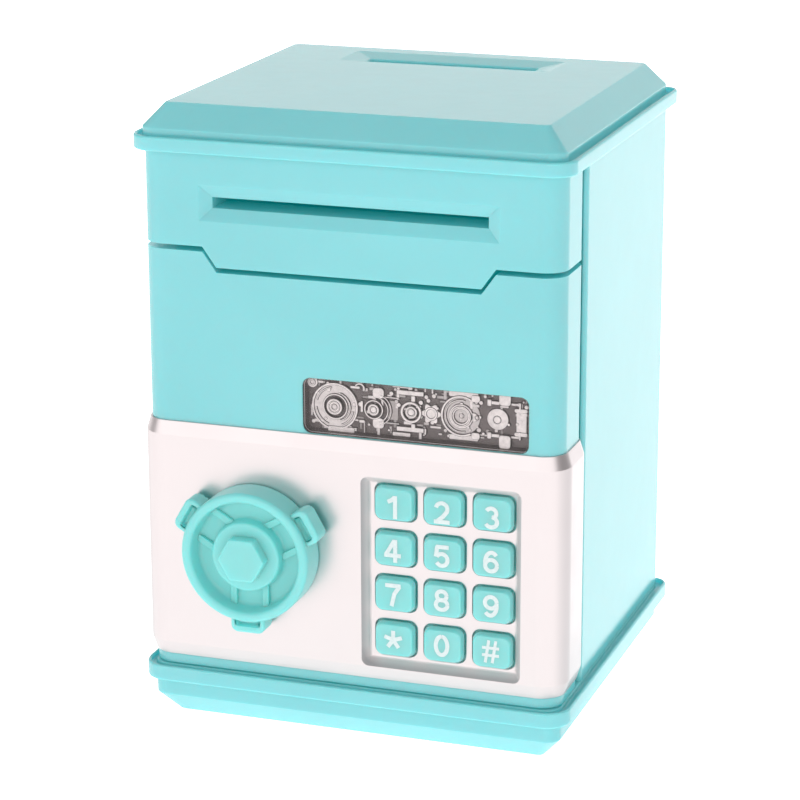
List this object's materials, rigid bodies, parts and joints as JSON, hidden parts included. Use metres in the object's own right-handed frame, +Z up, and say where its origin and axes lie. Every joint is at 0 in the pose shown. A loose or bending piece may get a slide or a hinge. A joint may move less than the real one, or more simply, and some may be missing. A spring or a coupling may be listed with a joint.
{
  "type": "toy atm savings bank",
  "caption": "Toy cash-machine money box: hinged safe door with knob latch, play keypad and gear window, note slot in front, coin slot in the lid.",
  "frame": {"origin": "centre of the flat underside of the base, on the surface that the bank stands on", "axes": "+Z up, the front with the door and note slot faces -Y, +X to the right when seen from the front"},
  "size_m": [0.078, 0.0795, 0.11],
  "materials": {
    "mint_plastic": "glossy injection-moulded ABS, mint turquoise",
    "knob_plastic": "satin injection-moulded ABS, mint turquoise",
    "latch_plastic": "plain moulded acetal",
    "key_plastic": "glossy moulded ABS with pale printed digits",
    "chrome_plating": "vacuum-metallised bright plating, faint warm tint",
    "clear_window": "clear polystyrene, polished",
    "relief_plating": "satin metallised relief with dark wash",
    "silicone_mat": "translucent silicone rubber",
    "white_plastic": "natural moulded ABS",
    "zinc_steel": "bright zinc-plated steel"
  },
  "bodies": {
    "bank_body": {"housing": "mint_plastic", "top_lid": "mint_plastic", "note_fascia": "mint_plastic", "base_tray": "mint_plastic", "hinge_pin": "zinc_steel", "latch_keeper": "zinc_steel", "keeper_screws": "zinc_steel", "lid_screws": "zinc_steel", "base_screws": "zinc_steel", "fascia_screws": "zinc_steel"},
    "door": {"door_shell": "mint_plastic", "chrome_panel": "chrome_plating", "window_lens": "clear_window", "gear_relief": "relief_plating", "door_back_plate": "mint_plastic", "key_mat": "silicone_mat", "keypad_tray": "white_plastic", "door_screws": "zinc_steel"},
    "latch_knob": {"knob": "knob_plastic", "knob_shaft": "latch_plastic", "latch_cam": "latch_plastic", "cam_washer": "zinc_steel", "cam_screw": "zinc_steel"},
    "key_1": {"key_1": "key_plastic"},
    "key_2": {"key_2": "key_plastic"},
    "key_3": {"key_3": "key_plastic"},
    "key_4": {"key_4": "key_plastic"},
    "key_5": {"key_5": "key_plastic"},
    "key_6": {"key_6": "key_plastic"},
    "key_7": {"key_7": "key_plastic"},
    "key_8": {"key_8": "key_plastic"},
    "key_9": {"key_9": "key_plastic"},
    "key_star": {"key_star": "key_plastic"},
    "key_0": {"key_0": "key_plastic"},
    "key_hash": {"key_hash": "key_plastic"}
  },
  "joints": [
    {"name": "door_hinge", "type": "hinge", "parent": "bank_body", "child": "door", "pos_m": [0.0344, -0.0242, 0.05], "axis": [0, 0, 1], "range_deg": [0, 90]},
    {"name": "knob_turn", "type": "hinge", "parent": "door", "child": "latch_knob", "pos_m": [-0.0166, -0.0386, 0.0338], "axis": [0, 1, 0], "range_deg": [0, 90]},
    {"name": "key_1_press", "type": "slide", "parent": "door", "child": "key_1", "axis": [0, 1, 0], "range_m": [0, 0.0008], "stiffness_N_per_m": 400},
    {"name": "key_2_press", "type": "slide", "parent": "door", "child": "key_2", "axis": [0, 1, 0], "range_m": [0, 0.0008], "stiffness_N_per_m": 400},
    {"name": "key_3_press", "type": "slide", "parent": "door", "child": "key_3", "axis": [0, 1, 0], "range_m": [0, 0.0008], "stiffness_N_per_m": 400},
    {"name": "key_4_press", "type": "slide", "parent": "door", "child": "key_4", "axis": [0, 1, 0], "range_m": [0, 0.0008], "stiffness_N_per_m": 400},
    {"name": "key_5_press", "type": "slide", "parent": "door", "child": "key_5", "axis": [0, 1, 0], "range_m": [0, 0.0008], "stiffness_N_per_m": 400},
    {"name": "key_6_press", "type": "slide", "parent": "door", "child": "key_6", "axis": [0, 1, 0], "range_m": [0, 0.0008], "stiffness_N_per_m": 400},
    {"name": "key_7_press", "type": "slide", "parent": "door", "child": "key_7", "axis": [0, 1, 0], "range_m": [0, 0.0008], "stiffness_N_per_m": 400},
    {"name": "key_8_press", "type": "slide", "parent": "door", "child": "key_8", "axis": [0, 1, 0], "range_m": [0, 0.0008], "stiffness_N_per_m": 400},
    {"name": "key_9_press", "type": "slide", "parent": "door", "child": "key_9", "axis": [0, 1, 0], "range_m": [0, 0.0008], "stiffness_N_per_m": 400},
    {"name": "key_star_press", "type": "slide", "parent": "door", "child": "key_star", "axis": [0, 1, 0], "range_m": [0, 0.0008], "stiffness_N_per_m": 400},
    {"name": "key_0_press", "type": "slide", "parent": "door", "child": "key_0", "axis": [0, 1, 0], "range_m": [0, 0.0008], "stiffness_N_per_m": 400},
    {"name": "key_hash_press", "type": "slide", "parent": "door", "child": "key_hash", "axis": [0, 1, 0], "range_m": [0, 0.0008], "stiffness_N_per_m": 400}
  ]
}
